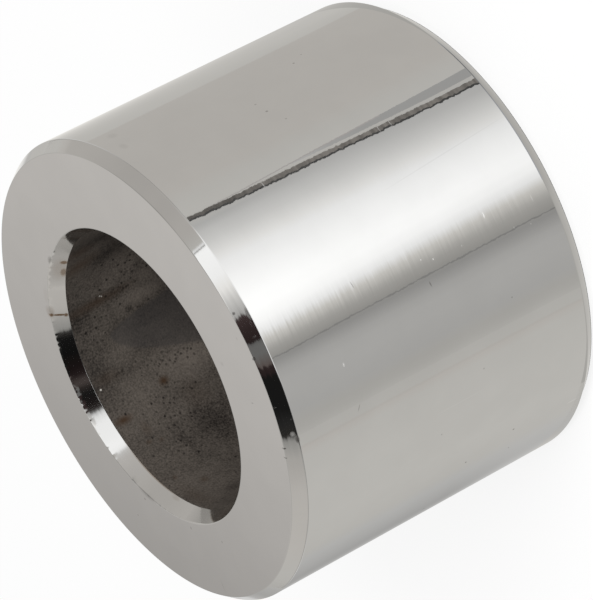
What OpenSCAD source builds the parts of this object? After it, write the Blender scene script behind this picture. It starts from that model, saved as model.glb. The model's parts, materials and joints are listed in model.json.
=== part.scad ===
// Spacer sleeve: a thick-walled ring turned from steel bar, with a through bore that slides on an axle,
// a bevelled corner at both ends and a countersunk mouth at both ends of the bore.
// It stands on its lower end face: the origin is the centre of that face and +Z runs up the bore.

/* [Sleeve] */
// Outside diameter of the bar that the sleeve is turned from
outer_d = 31.75; // [29:0.05:45]
// Length over the two end faces, which is the gap that the sleeve holds open
sleeve_len = 23.8; // [6:0.1:80]

/* [Bore] */
// Diameter of the axle that runs through the sleeve
axle_d = 19.05; // [6:0.05:23]
// Play of the bore on that axle, measured on the diameter
axle_play = 0.15; // [0.02:0.01:0.3]
// Depth of the countersink at each mouth of the bore
countersink_depth = 1; // [0.2:0.1:1.5]
// Included angle of the countersink
countersink_angle = 60; // [30:1:90]

/* [Outer corners] */
// Width of the bevel, taken off the radius of each end face
bevel_width = 0.6; // [0.1:0.1:1]
// Length of the bevel along the side of the sleeve
bevel_len = 0.8; // [0.1:0.1:1.5]

/* [Hidden] */
$fn = 128;
plate_colour = [0.72, 0.71, 0.69];

outer_r = outer_d / 2;
bore_r = (axle_d + axle_play) / 2;
// Radius of the countersink where it opens on the end face
mouth_r = bore_r + countersink_depth * tan(countersink_angle / 2);
// Radius at which the flat end face meets the bevel
face_r = outer_r - bevel_width;

// The wall's section, radius across and height up, from the lower mouth of the bore anticlockwise
wall_section = [
    [mouth_r, 0],
    [face_r, 0],
    [outer_r, bevel_len],
    [outer_r, sleeve_len - bevel_len],
    [face_r, sleeve_len],
    [mouth_r, sleeve_len],
    [bore_r, sleeve_len - countersink_depth],
    [bore_r, countersink_depth]
];

module spacer_sleeve() {
    color(plate_colour)
        rotate_extrude()
            polygon(wall_section);
}

spacer_sleeve();
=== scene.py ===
import json
import math
import bpy
import numpy as np
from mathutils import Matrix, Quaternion, Vector


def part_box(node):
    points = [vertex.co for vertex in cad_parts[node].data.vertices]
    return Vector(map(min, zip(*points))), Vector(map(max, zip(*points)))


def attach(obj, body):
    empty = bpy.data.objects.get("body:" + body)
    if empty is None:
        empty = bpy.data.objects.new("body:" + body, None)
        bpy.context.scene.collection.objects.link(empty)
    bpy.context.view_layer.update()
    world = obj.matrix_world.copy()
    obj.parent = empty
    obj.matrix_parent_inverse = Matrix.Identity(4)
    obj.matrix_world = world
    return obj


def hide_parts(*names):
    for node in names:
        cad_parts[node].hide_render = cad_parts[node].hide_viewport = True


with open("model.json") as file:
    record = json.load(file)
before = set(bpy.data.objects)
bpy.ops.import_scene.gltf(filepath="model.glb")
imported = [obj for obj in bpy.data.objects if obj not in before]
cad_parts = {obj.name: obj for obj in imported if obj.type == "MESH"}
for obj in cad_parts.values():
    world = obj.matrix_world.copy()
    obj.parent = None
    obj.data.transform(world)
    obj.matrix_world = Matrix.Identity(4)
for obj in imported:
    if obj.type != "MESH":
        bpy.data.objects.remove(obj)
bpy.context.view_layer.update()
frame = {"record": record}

# Camera
# It looks down past the upper end face at the angle of the photograph, and is rolled so that the bore
# leans across the picture. Azimuths go round the sleeve from the camera's side (-Y) towards +X.
MM = 0.001
CAMERA_AIM_MM = (-0.16, 0, 11.68)
CAMERA_AZIMUTH = 0.04
CAMERA_ELEVATION = 27.125
CAMERA_DISTANCE_MM = 282.8
CAMERA_ROLL = -117.44
CAMERA_LENS_MM = 266.2
CAMERA_SEES_FROM_MM = 10


def direction(azimuth, elevation):
    """Unit vector towards an azimuth and an elevation, both in degrees."""
    turn = np.radians(azimuth)
    rise = np.radians(elevation)
    return np.stack([np.sin(turn) * np.cos(rise), -np.cos(turn) * np.cos(rise), np.sin(rise) + 0 * turn], -1)


camera = bpy.data.objects.new("camera", bpy.data.cameras.new("camera"))
bpy.context.scene.collection.objects.link(camera)
back = Vector(direction(CAMERA_AZIMUTH, CAMERA_ELEVATION))
camera.location = (Vector(CAMERA_AIM_MM) + back * CAMERA_DISTANCE_MM) * MM
upright = (-back).to_track_quat("-Z", "Y")
camera.rotation_mode = "QUATERNION"
camera.rotation_quaternion = upright @ Quaternion((0, 0, 1), math.radians(CAMERA_ROLL))
camera.data.lens = CAMERA_LENS_MM
camera.data.clip_start = CAMERA_SEES_FROM_MM * MM
bpy.context.scene.camera = camera
bpy.context.scene.view_settings.view_transform = "Standard"

# Spacer sleeve
# One thick ring turned from steel bar: bored for an axle, bevelled on both outer corners and countersunk
# at both mouths of the bore, then polished and chrome plated outside. The bore was left bare, and has
# darkened, pitted and rusted. Sizes that the frame doesn't give are in millimetres.
BEVEL_WIDTH_MM = 0.6
BEVEL_LENGTH_MM = 0.8
COUNTERSINK_HALF_ANGLE = 30
CUT_EDGE_MM = 0.05
POLISHED_EDGE_MM = 0.12

low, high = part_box("spacer_sleeve")
outer_r = min(high.x, high.y, -low.x, -low.y) / MM
sleeve_len = high.z / MM
bore_mount = next(mount for mount in frame["record"]["mounts"] if mount["name"] == "bore")
bore_r = bore_mount["dims"]["r_mm"]
countersink_depth = (sleeve_len - bore_mount["dims"]["length_mm"]) / 2
mouth_r = bore_r + countersink_depth * math.tan(math.radians(COUNTERSINK_HALF_ANGLE))
face_r = outer_r - BEVEL_WIDTH_MM
middle_z = sleeve_len / 2

# The section is drawn as points, and each point becomes a row round the sleeve. The bore's rows are close
# together below the upper mouth, where light reaches, and further apart elsewhere.
EDGE_STEPS = 3
EDGE_SUPPORT_MM = 0.035
COUNTERSINK_ROWS, FACE_ROWS, BEVEL_ROWS, WALL_ROWS = 5, 3, 2, 3
FINE_BORE_TO_MM = 9
FINE_BORE_ROWS, MIDDLE_BORE_ROWS, COARSE_BORE_ROWS = 63, 5, 18
SEGMENTS = 540


def broken_corner(before, corner, after, radius):
    """Section points of a small arc that takes the sharpness off a corner, with a support point each side."""
    before, corner, after = (np.array(point, float) for point in (before, corner, after))
    back_way = (before - corner) / np.linalg.norm(before - corner)
    ahead_way = (after - corner) / np.linalg.norm(after - corner)
    half = math.acos(back_way @ ahead_way) / 2
    reach = radius / math.tan(half)
    middle = (back_way + ahead_way) / np.linalg.norm(back_way + ahead_way)
    centre = corner + middle * radius / math.sin(half)
    start = corner + back_way * reach
    end = corner + ahead_way * reach
    points = [start + back_way * EDGE_SUPPORT_MM]
    for step in range(EDGE_STEPS + 1):
        spoke = start - centre + (end - start) * step / EDGE_STEPS
        points.append(centre + spoke / np.linalg.norm(spoke) * radius)
    points.append(end + ahead_way * EDGE_SUPPORT_MM)
    return points


def between(start, end, count):
    """Evenly spaced section points between two points, without the points themselves."""
    start, end = np.array(start, float), np.array(end, float)
    return [start + (end - start) * step / (count + 1) for step in range(1, count + 1)]


bore_middle = (bore_r, middle_z)
bore_edge = (bore_r, sleeve_len - countersink_depth)
mouth_edge = (mouth_r, sleeve_len)
face_edge = (face_r, sleeve_len)
wall_edge = (outer_r, sleeve_len - BEVEL_LENGTH_MM)
wall_middle = (outer_r, middle_z)
fine_start = (bore_r, bore_edge[1] - FINE_BORE_TO_MM)

# One end of the sleeve, from the bore's edge over the end face to the middle of the wall. The first rows of
# the corner at the bore's edge still lie in the bare bore.
one_end = broken_corner(fine_start, bore_edge, mouth_edge, CUT_EDGE_MM)
BARE_CORNER_ROWS = 2
one_end += between(bore_edge, mouth_edge, COUNTERSINK_ROWS)
one_end += broken_corner(bore_edge, mouth_edge, face_edge, CUT_EDGE_MM)
one_end += between(mouth_edge, face_edge, FACE_ROWS)
one_end += broken_corner(mouth_edge, face_edge, wall_edge, CUT_EDGE_MM)
one_end += between(face_edge, wall_edge, BEVEL_ROWS)
one_end += broken_corner(face_edge, wall_edge, wall_middle, POLISHED_EDGE_MM)
one_end += between(one_end[-1], wall_middle, WALL_ROWS)

fine_bore = between(bore_middle, fine_start, MIDDLE_BORE_ROWS) + [fine_start]
fine_bore += between(fine_start, bore_edge, FINE_BORE_ROWS)
coarse_bore = between(bore_middle, bore_edge, COARSE_BORE_ROWS)
upper = np.array(fine_bore + one_end)
lower = np.array(coarse_bore + one_end)[::-1] * (1, -1) + (0, sleeve_len)
section = np.vstack([upper, lower])
rows = len(section)
in_bore = np.zeros(rows, bool)
in_bore[:len(fine_bore) + BARE_CORNER_ROWS] = True
in_bore[-len(coarse_bore) - BARE_CORNER_ROWS:] = True

azimuths = np.arange(SEGMENTS) * 360 / SEGMENTS
radius = np.repeat(section[:, :1], SEGMENTS, 1)
height = np.repeat(section[:, 1:], SEGMENTS, 1)
SEED = 14
chance = np.random.default_rng(SEED)


def around_from(azimuth):
    """Distance round the bore from an azimuth, in mm, for each segment."""
    return np.radians((azimuths - azimuth + 180) % 360 - 180) * bore_r


def near(azimuth, level, half_width, half_height, lean=0):
    """1 at a place on the bore, falling to 0 at an ellipse round it. lean is how far the ellipse slants, in
    mm across for each mm up."""
    up = height - level
    across = around_from(azimuth) - lean * up
    away = np.sqrt((across / half_width) ** 2 + (up / half_height) ** 2)
    return np.clip(1 - away, 0, 1)


# The larger pits in the bore: azimuth from and to, height from and to, how many, and their radius.
PIT_PATCHES = (
    (0, 360, 1.2, 22.4, 130, 0.13),
    (127, 141, 16.5, 20.3, 14, 0.14),
    (147, 162, 19.8, 22.2, 10, 0.12),
    (173, 184, 14.3, 18.2, 22, 0.13),
    (199, 220, 18.2, 20.8, 20, 0.14),
)
PIT_SPREAD, PIT_STRETCH, PIT_STRENGTH = (0.8, 1.5), (0.8, 1.4), (0.5, 1)
PIT_DEPTH_MM = 0.05
pit = np.zeros((rows, SEGMENTS))
for from_az, to_az, from_z, to_z, count, size in PIT_PATCHES:
    for _ in range(count):
        half_width = size * chance.uniform(*PIT_SPREAD)
        place = (chance.uniform(from_az, to_az), chance.uniform(from_z, to_z))
        half_height = half_width * chance.uniform(*PIT_STRETCH)
        pit = np.maximum(pit, near(*place, half_width, half_height) * chance.uniform(*PIT_STRENGTH))
pit *= in_bore[:, None]
radius += pit * PIT_DEPTH_MM

# The cutter left a torn edge on the side of the mouth away from the camera, which the plate didn't fill.
# About half of the edge is torn, tooth by tooth.
BURR_FROM, BURR_TO, BURR_FADE = 105, 250, 20
BURR_TEETH = (-0.9, 1)
BURR_DEPTH_MM = 0.05
BURR_REACH_MM = 0.12
burr_side = np.clip(np.minimum(azimuths - BURR_FROM, BURR_TO - azimuths) / BURR_FADE, 0, 1)
tooth = np.clip(chance.uniform(*BURR_TEETH, SEGMENTS), 0, 1) * burr_side
from_mouth = np.hypot(section[:, 0] - mouth_edge[0], section[:, 1] - mouth_edge[1])
burr = np.clip(1 - from_mouth / BURR_REACH_MM, 0, 1)[:, None] * tooth[None, :]
radius += burr * BURR_DEPTH_MM

turn = np.radians(azimuths)[None, :]
points = np.stack([radius * np.sin(turn), -radius * np.cos(turn), height], -1).reshape(-1, 3) * MM
row, segment = np.meshgrid(np.arange(rows), np.arange(SEGMENTS), indexing="ij")
next_row, next_segment = (row + 1) % rows, (segment + 1) % SEGMENTS
corners = (row, segment), (next_row, segment), (next_row, next_segment), (row, next_segment)
quads = np.stack([a * SEGMENTS + b for a, b in corners], -1).reshape(-1, 4)

mesh = bpy.data.meshes.new("spacer_sleeve_turned")
mesh.from_pydata(points.tolist(), [], quads.tolist())
mesh.polygons.foreach_set("use_smooth", np.ones(len(quads), bool))
bare_quad = (in_bore[row] & in_bore[next_row]).reshape(-1)
mesh.polygons.foreach_set("material_index", bare_quad.astype(np.int32))


def paint(name, cover):
    """Stores how strongly each point of the sleeve shows something, for a material to read by that name."""
    values = np.broadcast_to(cover, (rows, SEGMENTS)).reshape(-1).astype(np.float32)
    mesh.attributes.new(name, "FLOAT", "POINT").data.foreach_set("value", values)


# How far each surface is from a perfect mirror: haze is its roughness, and sway is how much the marks of the
# cutter and the polishing wheel tilt it. The wheel reached the wall and the faces best, and the countersinks
# least. A narrow band of the wall has coarse marks, and part of the bevel is smoother.
WALL_HAZE, BEVEL_HAZE, COUNTERSINK_HAZE = 0.03, 0.05, 0.075
WALL_SWAY, BEVEL_SWAY, COUNTERSINK_SWAY = 0.005, 0.022, 0.012
COARSE_SWAY, COARSE_MARKS_AT, COARSE_MARKS_OVER = 0.02, -3.8, 4
SMOOTH_SWAY, SMOOTH_BEVEL_FROM = 0.005, 14
signed_az = (azimuths + 180) % 360 - 180
coarse_marks = np.clip(1 - np.abs(signed_az - COARSE_MARKS_AT) / COARSE_MARKS_OVER, 0, 1)[None, :]
from_end = np.minimum(section[:, 1], sleeve_len - section[:, 1])[:, None]
out = section[:, :1]
on_countersink = (out < mouth_r) & (from_end < countersink_depth)
on_bevel = (out > face_r) & (from_end < BEVEL_LENGTH_MM)
paint("haze", np.select([on_countersink, on_bevel], [COUNTERSINK_HAZE, BEVEL_HAZE], WALL_HAZE))
sway = np.select([on_countersink, on_bevel], [COUNTERSINK_SWAY, BEVEL_SWAY], WALL_SWAY)
sway = sway + COARSE_SWAY * coarse_marks * (from_end > BEVEL_LENGTH_MM)
paint("sway", np.where(on_bevel & (signed_az > SMOOTH_BEVEL_FROM), SMOOTH_SWAY, sway))

# Patches in the bore: azimuth, height, half width, half height, lean and strength.
RUST = (
    (113, 22.0, 0.8, 1.6, 0, 0.55), (122, 21.8, 0.9, 1.9, 0.2, 0.65), (144, 20.6, 0.55, 3.6, 0.05, 0.6),
    (174, 21.6, 0.6, 1.4, 0, 0.3), (185, 18.1, 0.42, 0.5, 0, 1.3), (191.5, 22.0, 0.4, 0.9, 0, 1.2),
    (198.5, 21.0, 0.7, 0.45, 0, 0.35), (204, 21.4, 0.2, 0.3, 0, 0.7), (205.5, 20.6, 0.2, 0.25, 0, 0.6),
    (224, 21.8, 0.25, 0.2, 0, 0.7), (232.5, 20.5, 0.45, 0.4, 0, 0.6), (195, 16.6, 1.4, 1.4, 0, 0.2),
    (240, 22.0, 2.5, 0.8, 0, 0.25),
)
# Dark scale. The first two patches, at azimuths 122 and 109, are painted shade on a sloping side of the bore
# that lies in shadow.
DARK_SCALE_AND_SHADE = (
    (122, 19.5, 1.2, 2.4, 0.2, 0.7), (109, 20.6, 1.2, 3.0, 0, 0.6), (144, 20.2, 0.6, 3.6, 0.05, 0.55),
    (157, 16.6, 1.1, 3.0, 0.1, 0.5), (160.5, 17.0, 0.5, 2.4, 0, 0.5), (153, 18.4, 0.42, 0.42, 0, 0.8),
    (211, 19.0, 1.7, 1.2, 0, 0.45), (209, 16.6, 2.4, 3.6, 0.2, 0.65), (216, 16.6, 1.8, 1.8, 0, 0.6),
    (131, 18.8, 0.4, 1.2, 0, 0.3), (175, 21.0, 0.5, 2.4, 0, 0.4), (247, 20.0, 0.7, 0.6, 0, 0.5),
    (147, 22.3, 2.8, 1.8, 0, 0.55), (169, 22.4, 4.2, 1.9, 0, 0.6), (223, 18.6, 2.4, 1.5, 0, 0.4),
    (204, 15.6, 1.6, 1.6, 0, 0.5), (156, 19.4, 0.6, 1.2, 0, 0.4),
)
PALE_SCALE = (
    (166, 19.8, 1.3, 1.5, 0.3, 0.7), (181, 15.6, 1.9, 3.9, 0, 1.6), (149, 17.4, 0.8, 2.4, 0, 0.9),
    (142, 17.0, 1.4, 1.6, 0, 0.7), (133, 18.2, 1.8, 2.6, 0, 1.0), (186, 20.0, 2.8, 3.4, 0, 0.55),
    (136, 18.6, 1.0, 2.4, 0, 0.35), (152, 21.0, 1.2, 1.8, 0, 0.35), (228, 20.4, 3.0, 2.6, 0, 0.3),
)
PITTED = (
    (135, 18.4, 1.5, 3.0, 0, 1.3), (143, 18.8, 1.2, 1.6, 0, 1.0), (154, 21.0, 1.4, 1.8, 0, 1.0),
    (178, 16.6, 0.9, 3.2, 0, 1.4), (209, 19.4, 2.2, 2.2, 0, 1.2), (192, 18.6, 2.0, 2.6, 0, 0.6),
)
BORE_PATCHES = {"rust": RUST, "dark_scale_and_shade": DARK_SCALE_AND_SHADE, "pale_scale": PALE_SCALE, "pitted": PITTED}
for name, patches in BORE_PATCHES.items():
    cover = np.zeros((rows, SEGMENTS))
    for azimuth, level, half_width, half_height, lean, strength in patches:
        cover = np.maximum(cover, strength * near(azimuth, level, half_width, half_height, lean))
    paint(name, cover)

# A smooth dark stain with a crisp outline, which comes to a point below the mouth and widens downwards, its
# middle drifting round by some degrees, until it fades deep in the bore.
STAIN_TOP_AZ, STAIN_TOP_Z = 159.8, 20.3
STAIN_DRIFT = 2.2
STAIN_WIDTH_MM, STAIN_WIDTH_AT_MM = 2.15, 5.6
STAIN_EDGE_MM = 0.16
STAIN_FADES_AT_MM, STAIN_FADES_OVER_MM = 12, 3
below_top = np.clip(STAIN_TOP_Z - height, 0, None)
off_middle = np.abs(around_from(STAIN_TOP_AZ + STAIN_DRIFT * np.sqrt(below_top)))
stain_half = STAIN_WIDTH_MM * np.sqrt(below_top / STAIN_WIDTH_AT_MM)
faded = np.clip((below_top - STAIN_FADES_AT_MM) / STAIN_FADES_OVER_MM, 0, 1)
paint("stain", np.clip((stain_half - off_middle) / STAIN_EDGE_MM, 0, 1) * (1 - faded))


def linear(hex_colour):
    """Linear colour of an sRGB hex value."""
    parts = [int(hex_colour[k:k + 2], 16) / 255 for k in (1, 3, 5)]
    return [part / 12.92 if part <= 0.04045 else ((part + 0.055) / 1.055) ** 2.4 for part in parts] + [1]


def add(tree, kind, inputs=None, **settings):
    """Adds a node with its settings; each input is a value, or an output to link."""
    node = tree.nodes.new(kind)
    for name, value in settings.items():
        setattr(node, name, value)
    for socket, value in (inputs or {}).items():
        if isinstance(value, bpy.types.NodeSocket):
            tree.links.new(value, node.inputs[socket])
        else:
            node.inputs[socket].default_value = value
    return node


# A mark shows fully out to this share of its half sizes, and fades from there.
FULL_WITHIN = 0.4


def marks_on(tree, place, marks):
    """Strength of the strongest mark at a place. A mark gives its radius, azimuth and height, its half sizes
    round the sleeve, outwards and up, its lean in degrees, and its strength."""
    strongest = None
    for (out, azimuth, level), half_sizes, lean, strength in marks:
        centre = direction(azimuth, 0) * out + (0, 0, level)
        local = add(tree, "ShaderNodeMapping", {
            "Vector": place, "Location": centre * MM, "Scale": [half * MM for half in half_sizes],
            "Rotation": (0, math.radians(lean), math.radians(azimuth))}, vector_type="TEXTURE").outputs[0]
        away = add(tree, "ShaderNodeVectorMath", {0: local}, operation="LENGTH").outputs["Value"]
        cover = add(tree, "ShaderNodeMapRange", {
            "Value": away, "From Min": 1, "From Max": FULL_WITHIN, "To Max": strength}).outputs[0]
        if strongest:
            cover = add(tree, "ShaderNodeMath", {0: strongest, 1: cover}, operation="MAXIMUM").outputs[0]
        strongest = cover
    return strongest


# Chrome plate, bright nickel under chromium, polished in a lathe: a hard neutral mirror that takes its light
# and dark from what stands round it, with fine marks running round it from the polishing wheel. Real wheel
# marks are far finer than 0.13 mm, and are drawn that coarse so that they show.
CHROME = "#CDCDCC"
CHROME_FILMED = "#CBCBCA"
NICK_GLINT_WHITE = "#FFFFFF"
SPECK_DARK = "#4A4540"
STAIN_BROWN = "#7A5A2E"
POLISH_ALONG_MM = 3.0
POLISH_ACROSS_MM = 0.13
FILM_MM = 2.6
PEEL_MM = 1.6
PEEL_DEPTH_MM = 0.0006
MARK_HAZE = 0.5
WALL_MARK_DEEP_MM, EDGE_MARK_DEEP_MM, FACE_MARK_DEEP_MM = 1, 0.3, 0.2
mouth_z, edge_z = sleeve_len, sleeve_len - countersink_depth


def on_wall(azimuth, level, half_across, half_up, lean, strength):
    """A mark on the wall."""
    return (outer_r, azimuth, level), (half_across, WALL_MARK_DEEP_MM, half_up), lean, strength


def on_upper_bevel(share, azimuth, half_across, half_up, strength):
    """A mark on the upper bevel, at a share of its width from the end face."""
    place = (face_r + BEVEL_WIDTH_MM * share, azimuth, sleeve_len - BEVEL_LENGTH_MM * share)
    return place, (half_across, EDGE_MARK_DEEP_MM, half_up), 0, strength


def on_upper_mouth(azimuth, below, half_across, half_up, strength):
    """A mark on the edge of the upper mouth, or a little below it."""
    return (mouth_r, azimuth, mouth_z - below), (half_across, EDGE_MARK_DEEP_MM, half_up), 0, strength


def on_upper_face(out, azimuth, half_across, half_out, strength):
    """A mark on the upper end face."""
    return (out, azimuth, mouth_z), (half_across, half_out, FACE_MARK_DEEP_MM), 0, strength


# Nicks from handling, rougher than the plate, with a painted glint: their colour goes to white where a dent
# would catch the light.
NICKS_WITH_GLINTS = (
    on_wall(-6.4, 10.2, 0.07, 0.07, 0, 0.7), on_wall(-3.0, 5.7, 0.26, 0.06, 4, 0.6),
    on_wall(-5.3, 11.0, 0.06, 0.07, 0, 0.5), on_wall(-9.5, 2.9, 0.06, 0.08, 0, 0.4),
    on_wall(-8.5, 4.1, 0.08, 0.06, 5, 0.4), on_wall(-6.7, 8.0, 0.10, 0.06, 0, 0.3),
    on_wall(-18, 18.6, 0.16, 0.08, 0, 0.8), on_wall(-4.6, 2.1, 0.30, 0.05, 0, 0.3),
    on_wall(-40.7, 11.1, 0.05, 2.5, 0, 0.05), on_wall(-60.7, 1.6, 0.07, 0.5, 0, 0.2),
    on_wall(25.6, 8.6, 0.30, 0.05, 0, 0.3), on_wall(25.4, 7.7, 0.28, 0.05, 0, 0.3),
    on_wall(26.0, 17.4, 0.30, 0.05, 0, 0.3),
    on_upper_bevel(0.15, -20.0, 0.10, 0.11, 0.35), on_upper_bevel(0.9, -23.6, 0.09, 0.11, 0.3),
    on_upper_bevel(0.72, -27.1, 0.22, 0.16, 0.5), on_upper_bevel(0.65, -3.4, 0.10, 0.16, 0.2),
    on_upper_bevel(0.8, -0.5, 0.30, 0.10, 0.12), on_upper_bevel(0.2, -8.9, 0.20, 0.10, 0.12),
)
# Dark specks and short scratches.
SPECKS = (
    on_wall(-11, 11.05, 0.22, 0.05, -6, 0.6), on_wall(-3.2, 16.0, 0.32, 0.05, -8, 0.35),
    on_wall(-62, 10.2, 0.08, 0.08, 0, 0.7), on_wall(-59, 6.5, 0.08, 0.10, 0, 0.6),
    on_wall(-66.6, 6.4, 0.07, 0.07, 0, 0.6), on_wall(43.6, 13.4, 0.10, 0.12, 0, 0.4),
    on_wall(55, 8.9, 0.10, 0.10, 0, 0.4), on_wall(-28.8, 18.4, 0.30, 0.05, 30, 0.3),
    on_wall(-78, 12.2, 0.16, 0.16, 0, 0.5), on_wall(-78.6, 15.7, 0.12, 0.14, 0, 0.25),
    on_wall(-79, 13.9, 0.12, 0.12, 0, 0.25), on_wall(-77.6, 10.3, 0.12, 0.12, 0, 0.25),
    on_wall(-79, 8.3, 0.12, 0.12, 0, 0.25), on_wall(-35.4, 9, 0.08, 0.08, 0, 0.25),
    on_wall(-22.6, 5.9, 0.08, 0.08, 0, 0.25), on_wall(-47, 12.6, 0.08, 0.08, 0, 0.25),
    on_wall(39, 12.9, 0.08, 0.09, 0, 0.25), on_wall(47.3, 13.5, 0.09, 0.10, 0, 0.25),
    on_wall(57, 7.9, 0.08, 0.09, 0, 0.25), on_wall(55, 22, 0.5, 0.3, 0, 0.08),
    on_wall(61.6, 21.6, 0.5, 0.4, 0, 0.08), on_wall(13.3, 6, 0.06, 6, -4.3, 0.06),
    on_upper_bevel(0.05, -30.3, 0.07, 0.10, 0.7), on_upper_bevel(0.01, -32.8, 0.06, 0.08, 0.5),
    on_upper_bevel(0.15, 3.2, 0.12, 0.10, 0.7), on_upper_bevel(0.05, -7.9, 0.14, 0.08, 0.8),
    on_upper_bevel(0.95, -28.6, 0.30, 0.14, 0.7), on_upper_bevel(0.89, 1.6, 0.50, 0.09, 0.5),
    on_upper_mouth(108.5, 0.1, 0.20, 0.07, 0.5), on_upper_mouth(114.5, 0.02, 0.50, 0.06, 0.4),
    on_upper_mouth(222, 0.02, 1.1, 0.05, 0.3),
    on_upper_face(10.75, 220.7, 0.12, 0.10, 0.35), on_upper_face(12.89, 217.1, 0.08, 0.08, 0.3),
    on_upper_face(10.64, 248.4, 0.10, 0.14, 0.3), on_upper_face(11.12, -7.8, 0.20, 0.22, 0.10),
    on_upper_face(13.02, -19.9, 0.07, 0.16, 0.22), on_upper_face(14.4, -2.2, 0.14, 0.12, 0.10),
    on_upper_face(11.49, -93.7, 0.09, 0.09, 0.3), on_upper_face(14.54, -104.6, 0.06, 0.5, 0.15),
)
# Rust that ran from the bore over the countersink, most of it in one thin line with a dot at each end.
STAINS = (
    ((9.72, 115.8, edge_z + 0.20), (0.27, 0.5, 0.34), 0, 0.75),
    ((9.68, 121.6, edge_z + 0.14), (0.55, 0.5, 0.30), 0, 0.6),
    ((9.80, 119.5, edge_z + 0.35), (1.30, 0.6, 0.75), 0, 0.2),
    ((9.9, 119.0, edge_z + 0.50), (0.15, 0.5, 0.70), 0, 0.2),
    ((9.88, 142.7, edge_z + 0.50), (0.10, 0.5, 0.75), -10, 0.85),
    ((10.13, 142.2, mouth_z - 0.06), (0.18, 0.4, 0.18), 0, 0.8),
    ((9.66, 143.2, edge_z + 0.14), (0.17, 0.4, 0.17), 0, 0.8),
    ((10.25, 141.0, mouth_z - 0.08), (0.60, 0.5, 0.25), 0, 0.25),
    ((9.62, 218, edge_z + 0.02), (3.6, 4, 0.06), 0, 0.5),
    ((9.75, 234, edge_z + 0.15), (0.5, 1, 0.16), 0, 0.15),
    on_upper_face(10.4, 134, 0.9, 0.35, 0.06),
)
chrome = bpy.data.materials.new("chrome_plate")
chrome.use_nodes = True
tree = chrome.node_tree
tree.nodes.clear()
place = add(tree, "ShaderNodeTexCoord").outputs["Object"]
surface = add(tree, "ShaderNodeNewGeometry").outputs["Normal"]
haze = add(tree, "ShaderNodeAttribute", attribute_name="haze").outputs["Fac"]
most_sway = add(tree, "ShaderNodeAttribute", attribute_name="sway").outputs["Fac"]
# The wheel's marks tilt the surface to and fro, up and down the sleeve.
polish_scale = [1 / (POLISH_ALONG_MM * MM), 1 / (POLISH_ALONG_MM * MM), 1 / (POLISH_ACROSS_MM * MM)]
lines = add(tree, "ShaderNodeVectorMath", {0: place, 1: polish_scale}, operation="MULTIPLY").outputs[0]
wave = add(tree, "ShaderNodeTexNoise", {"Vector": lines, "Scale": 1, "Detail": 3}).outputs[0]
swing = add(tree, "ShaderNodeMapRange", {"Value": wave, "To Min": -1, "To Max": 1}, clamp=False).outputs[0]
tilt = add(tree, "ShaderNodeMath", {0: swing, 1: most_sway}, operation="MULTIPLY").outputs[0]
around = add(tree, "ShaderNodeVectorMath", {0: (0, 0, 1), 1: surface}, operation="CROSS_PRODUCT").outputs[0]
sway = add(tree, "ShaderNodeVectorMath", {0: around, "Scale": tilt}, operation="SCALE").outputs[0]
tilted = add(tree, "ShaderNodeVectorMath", {0: surface, 1: sway}, operation="ADD").outputs[0]
tilted = add(tree, "ShaderNodeVectorMath", {0: tilted}, operation="NORMALIZE").outputs[0]
peel = add(tree, "ShaderNodeTexNoise", {"Vector": place, "Scale": 1 / (PEEL_MM * MM), "Detail": 1}).outputs[0]
bumped = add(tree, "ShaderNodeBump", {
    "Height": peel, "Distance": PEEL_DEPTH_MM * MM, "Strength": 1, "Normal": tilted}).outputs[0]
film = add(tree, "ShaderNodeTexNoise", {"Vector": place, "Scale": 1 / (FILM_MM * MM), "Detail": 3}).outputs[0]
film = add(tree, "ShaderNodeMapRange", {"Value": film, "From Min": 0.35, "From Max": 0.65}).outputs[0]
# Painted glints: the nicks' colour is mixed to white, as if each dent caught the light.
nick_glints = marks_on(tree, place, NICKS_WITH_GLINTS)
specks = marks_on(tree, place, SPECKS)
stains = marks_on(tree, place, STAINS)
colour = linear(CHROME)
# The nicks' white is a painted glint; the film, specks and stains are the plate's own colour.
layers = (film, CHROME_FILMED), (nick_glints, NICK_GLINT_WHITE), (specks, SPECK_DARK), (stains, STAIN_BROWN)
for share, shown in layers:
    colour = add(tree, "ShaderNodeMix", {0: share, 6: colour, 7: linear(shown)}, data_type="RGBA").outputs[2]
marked = add(tree, "ShaderNodeMath", {0: nick_glints, 1: specks}, operation="MAXIMUM").outputs[0]
marked = add(tree, "ShaderNodeMath", {0: marked, 1: stains}, operation="MAXIMUM").outputs[0]
rough = add(tree, "ShaderNodeMath", {0: marked, 1: MARK_HAZE, 2: haze}, operation="MULTIPLY_ADD").outputs[0]
shader = add(tree, "ShaderNodeBsdfPrincipled", {
    "Base Color": colour, "Metallic": 1, "Roughness": rough, "Normal": bumped})
add(tree, "ShaderNodeOutputMaterial", {"Surface": shader.outputs[0]})
mesh.materials.append(chrome)

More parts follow.
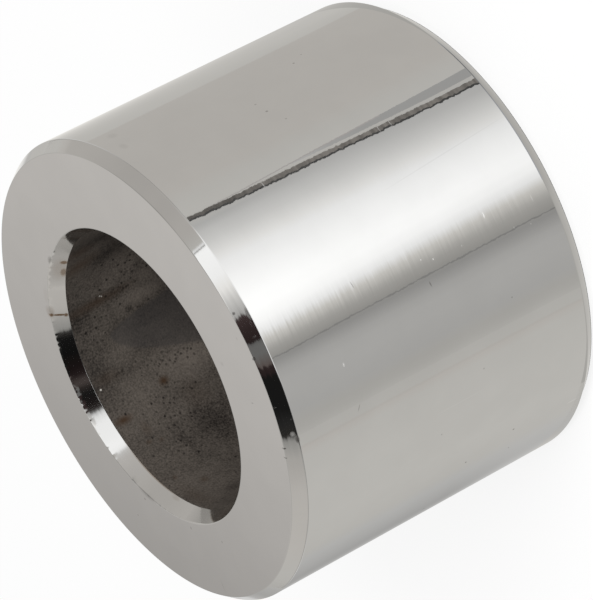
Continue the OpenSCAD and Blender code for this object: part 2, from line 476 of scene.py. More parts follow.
# Bare steel, bored and never plated: a dull grey-brown scale with a fine grain, paler where it is rubbed,
# with dark pits, brown rust and a smooth grey stain. The real grain is finer, and is drawn at 0.13 mm so
# that it shows.
SCALE_DARK = "#2A2623"
SCALE_PALE = "#766E66"
STAIN_GREY = "#444140"
PIT_DARK = "#1A1715"
RUST_BROWN = "#463629"
CRUMB_PALE = "#D8D4CC"
BLOTCH_MM = 2.2
GRAIN_MM = 0.13
FINE_PIT_MM = 0.27
GRAIN_SHARE, GRAIN_OFFSET, BLOTCH_SHARE = 1.4, -0.2, 0.7
PALE_SHARE, DARK_AND_SHADE_SHARE = 0.45, -0.6
STAIN_COVERS = 0.6
PIT_ODDS, PIT_ODDS_IN_PATCH, PIT_ODDS_IN_STAIN = 0.06, 0.95, -0.9
FAINTEST_PIT, PIT_RANGE = 0.2, 0.75
RELIEF_MM = 0.02
CRUMBS = (
    ((bore_r, 177.0, 22.38), (0.09, 1, 0.10), 0, 1), ((bore_r, 142.1, 20.32), (0.08, 1, 0.08), 0, 0.6),
    ((bore_r, 142.6, 20.18), (0.08, 1, 0.07), 0, 0.6),
)
steel = bpy.data.materials.new("bare_steel_bore")
steel.use_nodes = True
tree = steel.node_tree
tree.nodes.clear()
place = add(tree, "ShaderNodeTexCoord").outputs["Object"]
pale = add(tree, "ShaderNodeAttribute", attribute_name="pale_scale").outputs["Fac"]
dark_and_shade = add(tree, "ShaderNodeAttribute", attribute_name="dark_scale_and_shade").outputs["Fac"]
rust = add(tree, "ShaderNodeAttribute", attribute_name="rust").outputs["Fac"]
pitted = add(tree, "ShaderNodeAttribute", attribute_name="pitted").outputs["Fac"]
stain = add(tree, "ShaderNodeAttribute", attribute_name="stain").outputs["Fac"]
blotch = add(tree, "ShaderNodeTexNoise", {
    "Vector": place, "Scale": 1 / (BLOTCH_MM * MM), "Detail": 5, "Roughness": 0.65}).outputs[0]
grain = add(tree, "ShaderNodeTexNoise", {
    "Vector": place, "Scale": 1 / (GRAIN_MM * MM), "Detail": 2}).outputs[0]
tone = add(tree, "ShaderNodeMath", {
    0: grain, 1: GRAIN_SHARE, 2: GRAIN_OFFSET}, operation="MULTIPLY_ADD").outputs[0]
# The dark patches darken the tone: most are dark scale, and two are painted shade.
for part, share in ((blotch, BLOTCH_SHARE), (pale, PALE_SHARE), (dark_and_shade, DARK_AND_SHADE_SHARE)):
    tone = add(tree, "ShaderNodeMath", {0: part, 1: share, 2: tone}, operation="MULTIPLY_ADD").outputs[0]
tone = add(tree, "ShaderNodeMapRange", {"Value": tone, "From Min": 0.3, "From Max": 1.5}).outputs[0]
covered = add(tree, "ShaderNodeMath", {0: stain, 1: STAIN_COVERS}, operation="MULTIPLY").outputs[0]
# Fine pits lie close together in the pitted patches, are rare elsewhere and missing under the stain.
cells = add(tree, "ShaderNodeTexVoronoi", {"Vector": place, "Scale": 1 / (FINE_PIT_MM * MM)}).outputs
draws = add(tree, "ShaderNodeSeparateColor", {0: cells["Color"]}).outputs
odds = add(tree, "ShaderNodeMath", {
    0: pitted, 1: PIT_ODDS_IN_PATCH, 2: PIT_ODDS}, operation="MULTIPLY_ADD").outputs[0]
odds = add(tree, "ShaderNodeMath", {
    0: stain, 1: PIT_ODDS_IN_STAIN, 2: odds}, operation="MULTIPLY_ADD").outputs[0]
has_pit = add(tree, "ShaderNodeMath", {0: draws[0], 1: odds}, operation="LESS_THAN").outputs[0]
hole = add(tree, "ShaderNodeMapRange", {
    "Value": cells["Distance"], "From Min": 0.45, "From Max": 0.2}).outputs[0]
hole = add(tree, "ShaderNodeMath", {0: hole, 1: has_pit}, operation="MULTIPLY").outputs[0]
darkness = add(tree, "ShaderNodeMath", {
    0: draws[1], 1: PIT_RANGE, 2: FAINTEST_PIT}, operation="MULTIPLY_ADD").outputs[0]
pit_share = add(tree, "ShaderNodeMath", {0: hole, 1: darkness}, operation="MULTIPLY").outputs[0]
crumbs = marks_on(tree, place, CRUMBS)
colour = linear(SCALE_DARK)
layers = (
    (tone, SCALE_PALE), (covered, STAIN_GREY), (rust, RUST_BROWN), (pit_share, PIT_DARK),
    (crumbs, CRUMB_PALE),
)
for share, shown in layers:
    colour = add(tree, "ShaderNodeMix", {0: share, 6: colour, 7: linear(shown)}, data_type="RGBA").outputs[2]
relief = add(tree, "ShaderNodeMath", {0: hole, 1: -1, 2: grain}, operation="MULTIPLY_ADD").outputs[0]
rubbed = add(tree, "ShaderNodeBump", {
    "Height": relief, "Distance": RELIEF_MM * MM, "Strength": 0.6}).outputs[0]
shader = add(tree, "ShaderNodeBsdfPrincipled", {
    "Base Color": colour, "Metallic": 0, "Roughness": 0.55, "Normal": rubbed})
add(tree, "ShaderNodeOutputMaterial", {"Surface": shader.outputs[0]})
mesh.materials.append(steel)

sleeve = bpy.data.objects.new("spacer_sleeve_turned", mesh)
bpy.context.scene.collection.objects.link(sleeve)
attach(sleeve, "root")
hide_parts("spacer_sleeve")

# Floor
# A white sheet that the sleeve stands on. It reads as white to the eye and in the chrome, and a part of
# it is plain matt paper, so the sleeve's soft shadow stays. Under the sleeve it is dark.
FLOOR_HALF_MM = 1200
FLOOR_BELOW_MM = 0.02
FLOOR_GLOW = 0.8


def seen_plainly(tree):
    """1 for the rays that show a plain white background: those of the camera, of gloss and of glass."""
    rays = add(tree, "ShaderNodeLightPath").outputs
    seen = add(tree, "ShaderNodeMath", {
        0: rays["Is Camera Ray"], 1: rays["Is Glossy Ray"]}, operation="MAXIMUM").outputs[0]
    return add(tree, "ShaderNodeMath", {
        0: seen, 1: rays["Is Transmission Ray"]}, operation="MAXIMUM").outputs[0]


floor_mesh = bpy.data.meshes.new("floor")
edge = FLOOR_HALF_MM * MM
drop = -FLOOR_BELOW_MM * MM
floor_corners = [(-edge, -edge, drop), (edge, -edge, drop), (edge, edge, drop), (-edge, edge, drop)]
floor_mesh.from_pydata(floor_corners, [], [(0, 1, 2, 3)])
paper = bpy.data.materials.new("floor_paper")
paper.use_nodes = True
tree = paper.node_tree
tree.nodes.clear()
place = add(tree, "ShaderNodeTexCoord").outputs["Object"]
out_from_axis = add(tree, "ShaderNodeVectorMath", {0: place}, operation="LENGTH").outputs["Value"]
clear = add(tree, "ShaderNodeMath", {0: out_from_axis, 1: face_r * MM}, operation="GREATER_THAN").outputs[0]
seen = add(tree, "ShaderNodeMath", {0: seen_plainly(tree), 1: clear}, operation="MULTIPLY").outputs[0]
glow = add(tree, "ShaderNodeMath", {0: seen, 1: FLOOR_GLOW}, operation="MULTIPLY").outputs[0]
matt_share = 1 - FLOOR_GLOW
matt = add(tree, "ShaderNodeBsdfDiffuse", {"Color": (matt_share, matt_share, matt_share, 1)})
lit = add(tree, "ShaderNodeEmission", {"Color": (1, 1, 1, 1), "Strength": glow})
both = add(tree, "ShaderNodeAddShader", {0: matt.outputs[0], 1: lit.outputs[0]})
add(tree, "ShaderNodeOutputMaterial", {"Surface": both.outputs[0]})
floor_mesh.materials.append(paper)
floor = bpy.data.objects.new("floor", floor_mesh)
bpy.context.scene.collection.objects.link(floor)

# Studio cards
# Chrome shows only what stands round it. Grey, white and black paper lies round the foot of the sleeve and
# stands above it, seen by reflection alone. A stop of a card gives an azimuth, a brightness, where 1 is
# white, and a tint. Each card lies a little higher than those it covers.
WHITE = (1, 1, 1)
BLUISH = (1, 1.02, 1.08)
PALE = (1, 0.985, 0.96)
COOL = (1, 0.992, 0.975)
WARM = (1, 0.976, 0.93)
SAND = (1, 0.959, 0.92)
BLUSH = (1, 0.945, 0.925)
BUFF = (1, 0.957, 0.905)
BROWN = (1, 0.93, 0.86)
ROSY = (1, 0.81, 0.75)
MAROON = (1, 0.68, 0.67)
card_paper = bpy.data.materials.new("studio_paper")
card_paper.use_nodes = True
tree = card_paper.node_tree
tree.nodes.clear()
shade = add(tree, "ShaderNodeAttribute", attribute_name="shade").outputs["Color"]
lit = add(tree, "ShaderNodeEmission", {"Color": shade, "Strength": 1})
add(tree, "ShaderNodeOutputMaterial", {"Surface": lit.outputs[0]})
card_paper.cycles.emission_sampling = "NONE"


def make_card(name, grid, colours):
    """A sheet of paper through a grid of points, in mm, with its colour at each of them."""
    grid = np.asarray(grid, float)
    across, along = grid.shape[:2]
    card_mesh = bpy.data.meshes.new(name)
    first, second = np.meshgrid(np.arange(across - 1), np.arange(along - 1), indexing="ij")
    start = (first * along + second).reshape(-1)
    sheets = np.stack([start, start + 1, start + along + 1, start + along], -1)
    card_mesh.from_pydata((grid.reshape(-1, 3) * MM).tolist(), [], sheets.tolist())
    shades = np.ones((across, along, 4))
    shades[..., :3] = colours
    colour = card_mesh.attributes.new("shade", "FLOAT_COLOR", "POINT")
    colour.data.foreach_set("color", shades.reshape(-1).astype(np.float32))
    card_mesh.materials.append(card_paper)
    card = bpy.data.objects.new(name, card_mesh)
    bpy.context.scene.collection.objects.link(card)
    card.visible_camera = False
    card.visible_diffuse = False
    card.visible_shadow = False
    card.visible_transmission = False


def tinted(levels, tint):
    """Colours of one tint at several brightnesses."""
    return np.asarray(levels)[..., None] * np.array(tint)


def colours_at(card_az, stops):
    """Colours of a card at azimuths, between its stops."""
    stop_az = [azimuth for azimuth, level, tint in stops]
    shades = np.array([np.array(tint) * level for azimuth, level, tint in stops])
    return np.stack([np.interp(card_az, stop_az, shades[:, part]) for part in range(3)], -1)


def azimuths_for(stops, step=1):
    """Azimuths for a card's mesh: even steps, and the stops themselves."""
    stop_az = [azimuth for azimuth, level, tint in stops]
    return np.unique(np.concatenate([np.arange(stop_az[0], stop_az[-1], step), stop_az]))


def on_floor(azimuth, distance, rise):
    """Point of the floor that the photograph's camera sees in the wall, in mm: azimuth is where the reflected
    ray heads, and distance how far it goes from the sleeve's foot."""
    azimuth, distance = np.broadcast_arrays(azimuth, distance)
    foot = direction(azimuth / 2, 0) * outer_r
    point = foot + direction(azimuth, 0) * distance[..., None]
    point[..., 2] = rise
    return point


# The papers on the floor, round the sleeve: the near ones, which the photograph's camera sees in the wall,
# and the far ones, which other views see. The light one in front widens away from the sleeve.
NEAR_STOPS = (
    (-180, 0.52, COOL), (-168, 0.51, COOL), (-162.5, 0.455, COOL), (-156, 0.455, COOL), (-150, 0.51, COOL),
    (-144, 0.565, COOL), (-136, 0.637, COOL), (-128, 0.695, WARM), (-120, 0.73, WARM), (-110, 0.76, WARM),
    (-86, 0.765, WARM), (-76, 0.75, WARM), (-68, 0.735, WARM), (-64.2, 0.715, BUFF), (-63.2, 0.685, BUFF),
    (-62.2, 0.70, WARM), (-57.4, 0.685, WARM), (-57.1, 0.657, WARM), (-54, 0.615, WARM), (-51, 0.595, WARM),
    (-46, 0.588, PALE), (-36, 0.614, PALE), (-30, 0.61, PALE), (-26, 0.57, PALE), (-22, 0.475, PALE),
    (-20, 0.43, PALE), (-17.5, 0.455, WARM), (-14, 0.535, WARM), (-12, 0.62, WARM), (-8, 0.88, WARM),
    (-4, 1.27, WHITE), (0, 1.475, WHITE), (5, 1.57, WHITE), (10, 1.56, WHITE), (20, 1.425, WHITE),
    (28, 1.27, WHITE), (32, 1.14, COOL), (36, 1.0, COOL), (40, 0.875, COOL), (44, 0.78, COOL),
    (48, 0.69, COOL), (50, 0.65, COOL), (54, 0.69, WARM), (57, 0.73, WARM), (64, 0.708, WARM),
    (72, 0.69, BUFF), (84, 0.68, BUFF), (112, 0.67, BUFF), (131.9, 0.65, BUFF), (133, 0.70, WARM),
    (152, 0.695, WARM), (164, 0.71, WARM), (180, 0.71, WARM),
)
FAR_STOPS = (
    (-180, 1.3, WHITE), (-167, 1.1, WHITE), (-162, 0.56, PALE), (-156, 0.505, PALE), (-148, 0.60, PALE),
    (-134, 1.0, WHITE), (-118, 0.9, WHITE), (-100, 0.38, PALE), (-72, 0.30, PALE), (-48, 0.55, PALE),
    (-20, 1.1, WHITE), (5, 1.5, WHITE), (28, 1.4, WHITE), (46, 0.7, PALE), (62, 0.28, PALE), (92, 0.32, PALE),
    (112, 0.85, WHITE), (134, 1.0, WHITE), (148, 0.70, WARM), (157, 0.655, WARM), (162, 0.58, PALE),
    (167, 0.95, WHITE), (180, 1.3, WHITE),
)
CARDS_START_MM = 1.1
WIDENS_AT_MM = 23
NEAR_TO_MM = 55
FAR_FROM_MM = 115
FLOOR_CARDS_TO_MM = 500
CARD_RISE_MM = 0.01
CARD_BEHIND_RISE_MM = 0.008
# At azimuths, how many degrees the papers turn and how much lighter they get far out. Close to the foot they
# turn back and get darker by as much.
TURNS_OUTWARDS = (
    (-24, -10, -2, 14, 30, 40, 48),
    (0, -2.2, -2.6, 0, 1.3, 1.0, 0),
)
LIGHTER_OUTWARDS = (
    (-10, 2, 24, 40, 46, 50, 145, 152, 160, 168, 180),
    (0, 0.06, 0.04, 0.04, 0.08, 0, 0, 0.05, 0.12, 0.24, 0.3),
)
ring_az = np.unique(np.concatenate([azimuths_for(NEAR_STOPS), azimuths_for(FAR_STOPS)]))[:, None]
ring_out = np.array([
    CARDS_START_MM, 12, WIDENS_AT_MM, 34, 44, NEAR_TO_MM, 80, FAR_FROM_MM, 250, FLOOR_CARDS_TO_MM])
widening = np.clip((ring_out - WIDENS_AT_MM) / WIDENS_AT_MM, -1, 1)
turned = np.interp(ring_az, *TURNS_OUTWARDS) * widening
lighter = 1 + np.interp(ring_az, *LIGHTER_OUTWARDS) * widening
near_colours = colours_at(ring_az + 0 * ring_out, NEAR_STOPS) * lighter[..., None]
far_colours = colours_at(ring_az + 0 * ring_out, FAR_STOPS)
far_share = np.clip((ring_out - NEAR_TO_MM) / (FAR_FROM_MM - NEAR_TO_MM), 0, 1)[:, None]
ring_colours = near_colours * (1 - far_share) + far_colours * far_share
make_card("floor_cards", on_floor(ring_az + turned, ring_out, CARD_RISE_MM), ring_colours)

behind_x = np.linspace(-outer_r, outer_r, 3)
behind_grid = [[(x, y, CARD_BEHIND_RISE_MM) for y in outer_r + ring_out] for x in behind_x]
make_card("floor_card_behind", behind_grid, ring_colours[0])

# Under the edge of the foot lies a grey ring that the lower bevel shows, and outside it a darker one that
# the bevel's rounded edge shows as a thin line. The ring's radii are given from the edge of the end face.
FOOT_RING_AZ = (-60, -45, -30, -15, 0, 15, 30, 45, 60)
FOOT_RING_INSIDE = (0.72, 0.70, 0.74, 0.72, 0.70, 0.68, 0.77, 0.75, 0.73)
FOOT_RING_OUTSIDE = (0.60, 0.60, 0.635, 0.60, 0.58, 0.57, 0.50, 0.57, 0.58)
FOOT_RING_FROM_FACE_MM = (-0.67, 0.03, 0.23, 0.43, BEVEL_WIDTH_MM + CARDS_START_MM)
FOOT_RING_BLEND_FROM_MM, FOOT_RING_BLEND_MM = -0.02, 0.4
FOOT_RING_RISE_MM = 0.012
foot_az = np.arange(-180, 181, 3)[:, None]
foot_r = face_r + np.array(FOOT_RING_FROM_FACE_MM)
foot_grid = direction(foot_az + 0 * foot_r, 0) * foot_r[:, None]
foot_grid[..., 2] = FOOT_RING_RISE_MM
foot_share = np.clip((foot_r - face_r - FOOT_RING_BLEND_FROM_MM) / FOOT_RING_BLEND_MM, 0, 1)
foot_inside = np.interp(foot_az, FOOT_RING_AZ, FOOT_RING_INSIDE) * (1 - foot_share)
foot_outside = np.interp(foot_az, FOOT_RING_AZ, FOOT_RING_OUTSIDE) * foot_share
make_card("foot_ring", foot_grid, tinted(foot_inside + foot_outside, WARM))

FOOT_LINE = (-4, 6, 30, 44, 56, 72, 84), (0.60, 0.54, 0.52, 0.40, 0.22, 0.26, 0.60)
FOOT_LINE_OUT_MM = (0.05, 1.3)
FOOT_LINE_RISE_MM = 0.016
line_az = np.arange(-4, 84, 4)[:, None]
line_grid = on_floor(line_az, np.array(FOOT_LINE_OUT_MM), FOOT_LINE_RISE_MM)
make_card("foot_line", line_grid, tinted(np.interp(line_az, *FOOT_LINE), BLUISH))

# A paler sheet close to the foot on the left, which fades into the near papers.
PALE_SHEET_STOPS = (
    (-172, 0.58, COOL), (-152, 0.59, COOL), (-144, 0.63, COOL), (-136, 0.68, PALE), (-128, 0.72, WARM),
    (-112, 0.76, WARM),
)
PALE_SHEET_OUT_MM = (CARDS_START_MM, 9, 20)
PALE_SHEET_SHARE = (1, 0.85, 0)
PALE_SHEET_RISE_MM = 0.012
pale_az = azimuths_for(PALE_SHEET_STOPS, step=2)[:, None]
pale_out = np.array(PALE_SHEET_OUT_MM)
pale_share = np.array(PALE_SHEET_SHARE)[:, None]
sheet_colours = colours_at(pale_az + 0 * pale_out, PALE_SHEET_STOPS) * pale_share
sheet_colours += colours_at(pale_az + 0 * pale_out, NEAR_STOPS) * (1 - pale_share)
make_card("pale_sheet", on_floor(pale_az, pale_out, PALE_SHEET_RISE_MM), sheet_colours)

# Beside the light paper is a ragged slot, brown inside and black along one edge. Its edges are given as
# distances from the foot and azimuths there, and every tooth strays from them at random.
SLOT_TO_MM = 47
SLOT_TEETH = 170
SLOT_EDGE = (0, 9.4, 24, 32, 47), (48.8, 49.8, 51.4, 51.8, 53.2)
SLOT_END = (0, 9.4, 24, 47), (52.1, 52.95, 54.35, 55.8)
SLOT_LEVEL = (0, 33, 38), (0.27, 0.27, 0.18)
SLOT_EDGE_STRAYS, SLOT_END_STRAYS, SLOT_LEVEL_VARIES = (-0.45, 0.25), (-0.25, 0.25), (0.75, 1.25)
BLACK_WIDTH, BLACK_STRAYS = 0.95, (-0.3, 0.3)
BLACK_LEVEL = 0.085
SLOT_RISE_MM, BLACK_RISE_MM = 0.03, 0.035
slot_out = np.linspace(CARDS_START_MM, SLOT_TO_MM, SLOT_TEETH)
slot_edge = np.interp(slot_out, *SLOT_EDGE) + chance.uniform(*SLOT_EDGE_STRAYS, SLOT_TEETH)
slot_end = np.interp(slot_out, *SLOT_END) + chance.uniform(*SLOT_END_STRAYS, SLOT_TEETH)
black_end = slot_edge + BLACK_WIDTH + chance.uniform(*BLACK_STRAYS, SLOT_TEETH)
slot_level = np.interp(slot_out, *SLOT_LEVEL) * chance.uniform(*SLOT_LEVEL_VARIES, SLOT_TEETH)
slot_grid = on_floor(np.stack([slot_edge, slot_end], -1), slot_out[:, None], SLOT_RISE_MM)
make_card("slot", slot_grid, tinted(slot_level[:, None], BROWN))
black_grid = on_floor(np.stack([slot_edge, black_end], -1), slot_out[:, None], BLACK_RISE_MM)
make_card("slot_black_edge", black_grid, tinted(BLACK_LEVEL, WHITE))

# A thin grey wedge along the slot, with a reddish line that carries its far edge on.
WEDGE_START = (0, 7.5, 19, 28), (54.2, 54.4, 55.3, 56.1)
WEDGE_END = (0, 9.4, 17, 24.4, 36, 42), (59.4, 58.8, 58.15, 57.5, 56.1, 55.7)
WEDGE_LEVEL = (0, 16, 22, 28), (0.49, 0.50, 0.54, 0.66)
WEDGE_TO_MM = 28
WEDGE_STEPS = 14
WEDGE_RISE_MM = 0.02
wedge_out = np.linspace(CARDS_START_MM, WEDGE_TO_MM, WEDGE_STEPS)
wedge_az = np.stack([np.interp(wedge_out, *WEDGE_START), np.interp(wedge_out, *WEDGE_END)], -1)
wedge_level = np.interp(wedge_out, *WEDGE_LEVEL)
wedge_grid = on_floor(wedge_az, wedge_out[:, None], WEDGE_RISE_MM)
make_card("wedge_card", wedge_grid, tinted(wedge_level[:, None], COOL))

WEDGE_LINE_FROM_MM, WEDGE_LINE_TO_MM = 14, 42
WEDGE_LINE_STEPS = 60
WEDGE_LINE_WIDTHS = (0.7, 0.35)
WEDGE_LINE_LEVEL = 0.56
WEDGE_LINE_RISE_MM = 0.025
line_out = np.linspace(WEDGE_LINE_FROM_MM, WEDGE_LINE_TO_MM, WEDGE_LINE_STEPS)
line_end = np.interp(line_out, *WEDGE_END)
line_width = np.interp(line_out, (WEDGE_LINE_FROM_MM, WEDGE_LINE_TO_MM), WEDGE_LINE_WIDTHS)
line_grid = on_floor(np.stack([line_end - line_width, line_end], -1), line_out[:, None], WEDGE_LINE_RISE_MM)
make_card("wedge_line", line_grid, tinted(WEDGE_LINE_LEVEL, BLUSH))

# On the other side of the light paper is a thin uneven gap.
GAP_TO_MM = 47
GAP_STEPS = 120
GAP_AT = (0, 44), (-17.6, -19.3)
GAP_STRAYS = (-0.25, 0.25)
GAP_HALF, GAP_HALF_VARIES = 0.33, (-0.15, 0.15)
GAP_LEVEL = 0.33
GAP_RISE_MM = 0.02
gap_out = np.linspace(CARDS_START_MM, GAP_TO_MM, GAP_STEPS)
gap_az = np.interp(gap_out, *GAP_AT) + chance.uniform(*GAP_STRAYS, GAP_STEPS)
gap_half = GAP_HALF + chance.uniform(*GAP_HALF_VARIES, GAP_STEPS)
gap_grid = on_floor(np.stack([gap_az - gap_half, gap_az + gap_half], -1), gap_out[:, None], GAP_RISE_MM)
make_card("thin_gap", gap_grid, tinted(GAP_LEVEL, PALE))

# Cards stand all round the sleeve in three bands, one above the other, by elevation.
CARD_AWAY_MM = 500
BACKDROP_FROM, BACKDROP_TO, MIDDLE_BAND_TO, HIGH_BAND_TO = -6, 24, 38.5, 90
BAND_STEP = 4


def standing_card(name, from_el, to_el, stops, stops_above=None):
    """A card that stands round the sleeve between two elevations. It keeps its colours upwards, or takes
    those of other stops by its upper edge."""
    card_az = azimuths_for(stops)[:, None]
    card_el = np.linspace(from_el, to_el, 2 + int((to_el - from_el) / BAND_STEP))
    spread = card_az + 0 * card_el
    grid = direction(spread, card_el + 0 * card_az) * CARD_AWAY_MM
    grid[..., 2] += sleeve_len
    rise = np.linspace(0, 1, len(card_el))[:, None]
    below, above = colours_at(spread, stops), colours_at(spread, stops_above or stops)
    make_card(name, grid, below * (1 - rise) + above * rise)


# The backdrop low down, which the sides of the bevel and the countersink show, and all rounded edges.
standing_card("backdrop", BACKDROP_FROM, BACKDROP_TO, (
    (-180, 0.55, PALE), (-148, 0.60, WARM), (-140, 0.67, WARM), (-132, 0.72, WARM), (-116, 0.74, BUFF),
    (-100, 0.735, BUFF), (-93, 0.69, BUFF), (-80, 0.67, BUFF), (-70, 0.57, WARM), (-63, 0.45, WARM),
    (-59, 0.10, PALE), (-30, 0.12, PALE), (-22, 0.9, WHITE), (9, 1.3, WHITE), (43, 1.3, WHITE),
    (48, 0.70, PALE), (64, 0.63, BUFF), (84, 0.60, BUFF), (101, 0.60, BUFF), (115, 0.625, BUFF),
    (129.5, 0.635, BUFF), (131.5, 0.69, BUFF), (137, 0.725, WARM), (150, 0.70, WARM), (158, 0.65, WARM),
    (180, 0.60, PALE),
))
# The middle band, which the far side of the countersink and part of the bevel show. In front it is black,
# then white, over its whole height.
MIDDLE_FRONT = (
    (-61.2, 0.25, WARM), (-60.3, 0.04, BROWN), (-55, 0.011, PALE), (-43, 0.008, PALE), (-38, 0.012, ROSY),
    (-31, 0.015, MAROON), (-25, 0.026, MAROON), (-20.5, 0.080, ROSY), (-17.5, 0.084, ROSY),
    (-14, 0.035, ROSY), (-9, 0.013, PALE), (0, 0.018, ROSY), (5.4, 0.04, ROSY), (6.9, 0.25, PALE),
    (8.4, 0.85, WHITE), (11.5, 1.18, WHITE), (17, 1.34, WHITE), (30, 1.355, WHITE), (38, 1.42, WHITE),
    (42.6, 1.36, WHITE), (45.3, 0.80, PALE),
)
standing_card("middle_band", BACKDROP_TO, MIDDLE_BAND_TO, (
    (-180, 0.60, WARM), (-120, 0.70, BUFF), (-97, 0.735, BUFF), (-87, 0.715, BUFF), (-78, 0.645, BUFF),
    (-72, 0.505, WARM), (-66, 0.43, WARM), (-63, 0.41, WARM), *MIDDLE_FRONT, (50, 0.73, SAND),
    (60, 0.693, SAND), (66, 0.669, SAND), (72, 0.647, BUFF), (78, 0.619, BUFF), (84, 0.606, BUFF),
    (92, 0.588, BUFF), (97, 0.59, BUFF), (130, 0.64, BUFF), (180, 0.60, WARM),
), (
    (-180, 0.60, WARM), (-120, 0.70, BUFF), (-97, 0.735, BUFF), (-87, 0.70, BUFF), (-78, 0.645, BUFF),
    (-72, 0.64, BUFF), (-66, 0.49, WARM), (-63, 0.42, WARM), *MIDDLE_FRONT, (50, 0.70, SAND),
    (60, 0.61, BUFF), (66, 0.58, BUFF), (72, 0.567, BUFF), (78, 0.573, BUFF), (84, 0.56, BUFF),
    (92, 0.58, BUFF), (97, 0.59, BUFF), (130, 0.64, BUFF), (180, 0.60, WARM),
))
# The high band, which the near part of the bevel shows.
standing_card("high_band", MIDDLE_BAND_TO, HIGH_BAND_TO, (
    (-180, 0.6, WARM), (-90, 0.6, WARM), (-72, 0.55, WARM), (-61.5, 0.45, WARM), (-60.3, 0.04, BROWN),
    (-53.5, 0.027, PALE), (-47, 0.014, PALE), (-30, 0.014, PALE), (-27.8, 0.032, MAROON),
    (-24.6, 0.038, MAROON), (-23.6, 0.15, ROSY), (-17, 0.20, PALE), (-12.5, 0.20, PALE), (-10.8, 0.17, PALE),
    (-10, 0.03, MAROON), (-3, 0.045, MAROON), (3.8, 0.07, MAROON), (5.2, 0.55, PALE), (7, 0.63, PALE),
    (14, 0.88, PALE), (21, 1.25, PALE), (28, 1.39, WHITE), (43.6, 1.45, WHITE), (43.9, 0.35, PALE),
    (44.3, 0.40, PALE), (44.6, 1.2, WHITE), (45.4, 1.1, WHITE), (46, 0.69, WARM), (53.5, 0.63, BUFF),
    (60, 0.61, BUFF), (68, 0.55, BUFF), (80, 0.38, WARM), (130, 0.38, WARM), (180, 0.6, WARM),
))

# Two flags stand in front of the backdrop. The sides of the countersink show them, below what the bevel
# shows.
FLAG_AWAY_MM = 490


def low_flag(name, stops, top_edge):
    """A lower card in front of the backdrop, with a sloping top edge given by azimuths and elevations."""
    card_az = azimuths_for(stops, step=2)[:, None]
    top = np.interp(card_az, *zip(*top_edge))
    card_el = BACKDROP_FROM + (top - BACKDROP_FROM) * np.array([0, 1])
    grid = direction(card_az + 0 * card_el, card_el) * FLAG_AWAY_MM
    grid[..., 2] += sleeve_len
    make_card(name, grid, colours_at(card_az + 0 * card_el, stops))


low_flag("left_flag", (
    (-150, 0.08, SAND), (-145, 0.17, SAND), (-141, 0.365, WARM), (-136, 0.45, BUFF), (-127, 0.525, BUFF),
    (-114, 0.54, BUFF), (-106, 0.58, BUFF), (-98, 0.66, BUFF),
), (
    (-150, -6), (-145, -3.1), (-140.5, -0.3), (-136, 2), (-127, 7), (-118, 11.8), (-108, 16.7), (-98, 21),
))
low_flag("right_flag", (
    (122, 0.61, BUFF), (127, 0.566, BUFF), (132, 0.515, BUFF), (137, 0.44, BUFF), (141, 0.355, BUFF),
    (145, 0.225, BROWN), (150, 0.085, BROWN),
), (
    (122, 9.8), (127, 7), (136, 2), (140.5, -0.3), (145, -3.1), (150, -6),
))

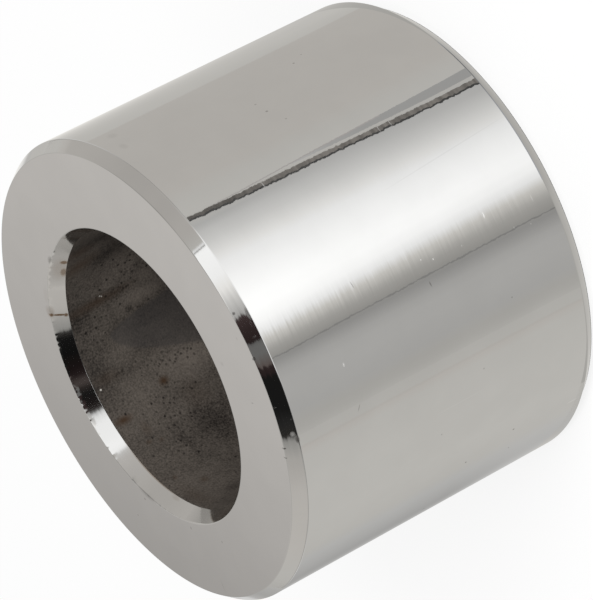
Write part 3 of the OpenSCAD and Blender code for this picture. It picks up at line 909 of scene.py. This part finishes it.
# The card behind, which the end face shows: darker low down on the left, seen from the sleeve's front. Its
# levels are given at four places, low on the right and left and high on the right and left.
BACK_CARD_AWAY_MM = 470
BACK_CARD_STEPS = 5
BACK_CARD_AZIMUTHS, BACK_CARD_ELEVATIONS = (172, 188), (20, 30)
LEVEL_AZIMUTHS, LEVEL_ELEVATIONS = (175.5, 184.5), (23.4, 26.3)
LOW_RIGHT, LOW_LEFT, HIGH_RIGHT, HIGH_LEFT = 0.675, 0.50, 0.74, 0.65
BACK_CARD_LEVELS = (0.4, 0.8)
back_az = np.linspace(*BACK_CARD_AZIMUTHS, BACK_CARD_STEPS)[:, None]
back_el = np.linspace(*BACK_CARD_ELEVATIONS, BACK_CARD_STEPS)
to_left = (back_az - LEVEL_AZIMUTHS[0]) / (LEVEL_AZIMUTHS[1] - LEVEL_AZIMUTHS[0])
to_top = (back_el - LEVEL_ELEVATIONS[0]) / (LEVEL_ELEVATIONS[1] - LEVEL_ELEVATIONS[0])
low_level = LOW_RIGHT * (1 - to_left) + LOW_LEFT * to_left
high_level = HIGH_RIGHT * (1 - to_left) + HIGH_LEFT * to_left
back_level = np.clip(low_level * (1 - to_top) + high_level * to_top, *BACK_CARD_LEVELS)
back_grid = direction(back_az + 0 * back_el, back_el + 0 * back_az) * BACK_CARD_AWAY_MM
back_grid[..., 2] += sleeve_len
make_card("back_card", back_grid, tinted(back_level, SAND))

# Lamps and daylight
# Two soft lamps and an even daylight light the floor and the inside of the bore; the chrome sees the cards
# instead of the lamps.
DAYLIGHT = 0.5
world = bpy.data.worlds.new("daylight")
bpy.context.scene.world = world
world.use_nodes = True
tree = world.node_tree
tree.nodes.clear()
even = add(tree, "ShaderNodeBackground", {"Color": (1, 1, 1, 1), "Strength": DAYLIGHT})
white = add(tree, "ShaderNodeBackground", {"Color": (1, 1, 1, 1), "Strength": 1})
sky = add(tree, "ShaderNodeMixShader", {0: seen_plainly(tree), 1: even.outputs[0], 2: white.outputs[0]})
add(tree, "ShaderNodeOutputWorld", {"Surface": sky.outputs[0]})


def soft_lamp(name, azimuth, elevation, away_mm, side_mm, watts):
    """A square soft lamp that faces the sleeve."""
    lamp = bpy.data.objects.new(name, bpy.data.lights.new(name, "AREA"))
    bpy.context.scene.collection.objects.link(lamp)
    toward = Vector(direction(azimuth, elevation))
    lamp.location = toward * away_mm * MM
    lamp.rotation_mode = "QUATERNION"
    lamp.rotation_quaternion = toward.to_track_quat("Z", "Y")
    lamp.data.size = side_mm * MM
    lamp.data.energy = watts
    lamp.visible_glossy = False
    lamp.visible_camera = False


soft_lamp("key_lamp", azimuth=20, elevation=38, away_mm=600, side_mm=300, watts=2.2)
soft_lamp("top_lamp", azimuth=-60, elevation=70, away_mm=600, side_mm=400, watts=0.7)
